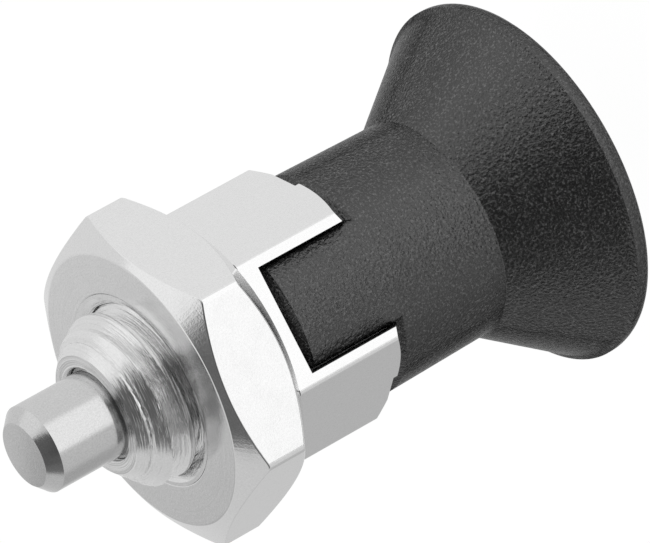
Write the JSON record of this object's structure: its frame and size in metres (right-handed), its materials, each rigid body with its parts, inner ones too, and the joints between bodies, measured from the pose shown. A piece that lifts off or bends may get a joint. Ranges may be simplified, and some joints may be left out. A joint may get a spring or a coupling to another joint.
{
  "type": "indexing plunger",
  "caption": "Spring-loaded indexing plunger: steel pin in a threaded hexagonal body with a locknut, pulled by a mushroom grip whose dogs sit in slots across the body.",
  "frame": {"origin": "centre of the grip's flat back face, which the plunger stands on", "axes": "+Z along the plunger towards the tip of the pin; +X square to one of the two slotted flats of the hexagon; +Y through a corner of it"},
  "size_m": [0.021, 0.021, 0.0344],
  "materials": {
    "plated_steel": "bright plated, turned and milled",
    "ground_steel": "ground, satin",
    "spring_wire": "drawn wire",
    "retainer_steel": "turned",
    "black_plastic": "fine moulded grain"
  },
  "bodies": {
    "housing": {"hex_body": "plated_steel", "spring_retainer": "retainer_steel"},
    "locknut": {"locknut": "plated_steel"},
    "spring": {"compression_spring": "spring_wire"},
    "plunger": {"indexing_pin": "ground_steel", "mushroom_grip": "black_plastic"}
  },
  "joints": [
    {"name": "pull", "type": "slide", "parent": "housing", "child": "spring", "axis": [0, 0, -1], "range_m": [0, 0.00605], "stiffness_N_per_m": 1040, "springref_m": -0.0045, "deforming": ["compression_spring"]},
    {"name": "dog_play", "type": "hinge", "parent": "spring", "child": "plunger", "pos_m": [0, 0, 0.0142], "axis": [0, 0, 1], "range_deg": [-1.2, 1.2]},
    {"name": "locknut_travel", "type": "slide", "parent": "housing", "child": "locknut", "axis": [0, 0, 1], "range_m": [0, 0.003]}
  ]
}
